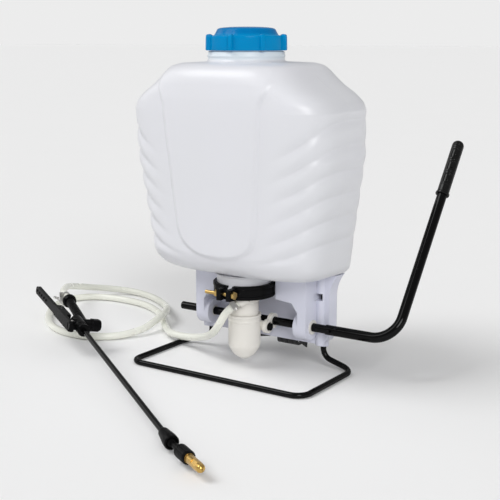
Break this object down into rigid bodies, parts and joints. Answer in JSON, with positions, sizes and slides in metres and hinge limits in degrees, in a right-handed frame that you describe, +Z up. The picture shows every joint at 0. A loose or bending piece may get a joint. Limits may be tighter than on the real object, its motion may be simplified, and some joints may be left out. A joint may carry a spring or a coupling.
{
  "type": "backpack sprayer",
  "caption": "Lever-operated backpack sprayer: white tank with blue filler cap on a bent-rod stand, piston pump, side lever, hose and lance with trigger and brass nozzle.",
  "frame": {"origin": "on the floor, under the middle of the object's box without the hose", "axes": "+Z up, -Y the tank's front panel, +Y the wearer's side, +X the lever side"},
  "size_m": [0.7953, 0.6886, 0.5385],
  "materials": {
    "tank": "natural polyethylene, faintly translucent, soft gloss",
    "base": "natural polyethylene, faintly translucent, soft gloss",
    "cap": "moulded blue polypropylene",
    "mesh": "moulded polypropylene",
    "pump": "warm white acetal",
    "black_rod": "black gloss paint on bent steel rod and tube",
    "black_plastic": "black moulded nylon",
    "lance": "black coated tube",
    "grip": "soft black grip",
    "rubber": "black seal rubber",
    "steel": "bright plated steel",
    "brass": "turned brass",
    "hose": "clear-white flexible vinyl",
    "webbing": "black woven webbing",
    "padding": "black padded cloth"
  },
  "bodies": {
    "body": {"tank": "tank", "base": "base", "stand_frame": "black_rod", "strainer": "mesh", "neck_clamp": "black_plastic", "clamp_bolt": "brass", "clamp_nut": "brass", "neck_gasket": "rubber", "pump_body": "pump", "air_chamber": "pump", "piston_seal": "rubber", "outlet_ball": "steel", "shaft_bushes": "pump", "hose": "hose", "pump_hose_clip": "steel", "handle_hose_clip": "steel", "handle": "black_plastic", "handle_collar": "black_plastic", "trigger_pin": "steel", "valve_spring": "steel", "valve_cap": "black_plastic", "lance_nut": "black_plastic", "lance_tube": "lance", "lance_seal": "rubber", "lance_collar": "black_plastic", "nozzle_neck": "black_plastic", "nozzle_nut": "black_plastic", "swirl_core": "brass", "strap_left": "webbing", "strap_right": "webbing", "pad_left": "padding", "pad_right": "padding", "strap_anchors": "black_plastic", "strap_adjusters": "black_plastic"},
    "lever": {"lever_shaft": "black_rod", "crank_arms": "pump", "lever_tube": "black_rod", "lever_pin": "steel", "lever_grip": "grip"},
    "cup": {"pump_cup": "pump", "trunnion_pins": "black_plastic"},
    "cap_ring": {"cap_gasket": "rubber"},
    "cap": {"filler_cap": "cap", "cap_vent": "rubber"},
    "trigger": {"trigger": "black_plastic"},
    "lock": {"trigger_lock": "steel"},
    "stem": {"valve_stem": "brass"},
    "nozzle": {"nozzle_tip": "brass"}
  },
  "joints": [
    {"name": "lever_swing", "type": "hinge", "parent": "body", "child": "lever", "pos_m": [0.0965, 0.1125, 0.074], "axis": [-1, 0, 0], "range_deg": [0, 46]},
    {"name": "cup_stroke", "type": "slide", "parent": "body", "child": "cup", "axis": [0, 0, 1], "range_m": [0, 0.01309]},
    {"name": "cap_lift", "type": "slide", "parent": "body", "child": "cap_ring", "axis": [0, 0, 1], "range_m": [0, 0.06]},
    {"name": "cap_turn", "type": "hinge", "parent": "cap_ring", "child": "cap", "pos_m": [0.0965, 0.0845, 0.52], "axis": [0, 0, 1], "continuous": true},
    {"name": "trigger_pull", "type": "hinge", "parent": "body", "child": "trigger", "pos_m": [-0.17315, -0.037, 0.05201], "axis": [-0.1565, -0.1054, -0.982], "range_deg": [0, 6], "stiffness_Nm_per_rad": 4, "springref_deg": -8.59},
    {"name": "stem_stroke", "type": "slide", "parent": "body", "child": "stem", "axis": [0.5254, 0.833, -0.1732], "range_m": [0, 0.00138], "deforming": ["valve_spring"]},
    {"name": "lock_swing", "type": "hinge", "parent": "trigger", "child": "lock", "pos_m": [-0.23906, 0.00832, 0.05765], "axis": [-0.1565, -0.1054, -0.982], "range_deg": [0, 60]},
    {"name": "nozzle_turn", "type": "hinge", "parent": "body", "child": "nozzle", "pos_m": [0.28656, -0.31398, 0.0165], "axis": [0.8521, -0.5222, 0.0349], "continuous": true}
  ],
  "couplings": [
    {"joint": "cup_stroke", "follows": "lever_swing", "m_per_rad": 0.016284},
    {"joint": "stem_stroke", "follows": "trigger_pull", "m_per_rad": 0.013}
  ]
}
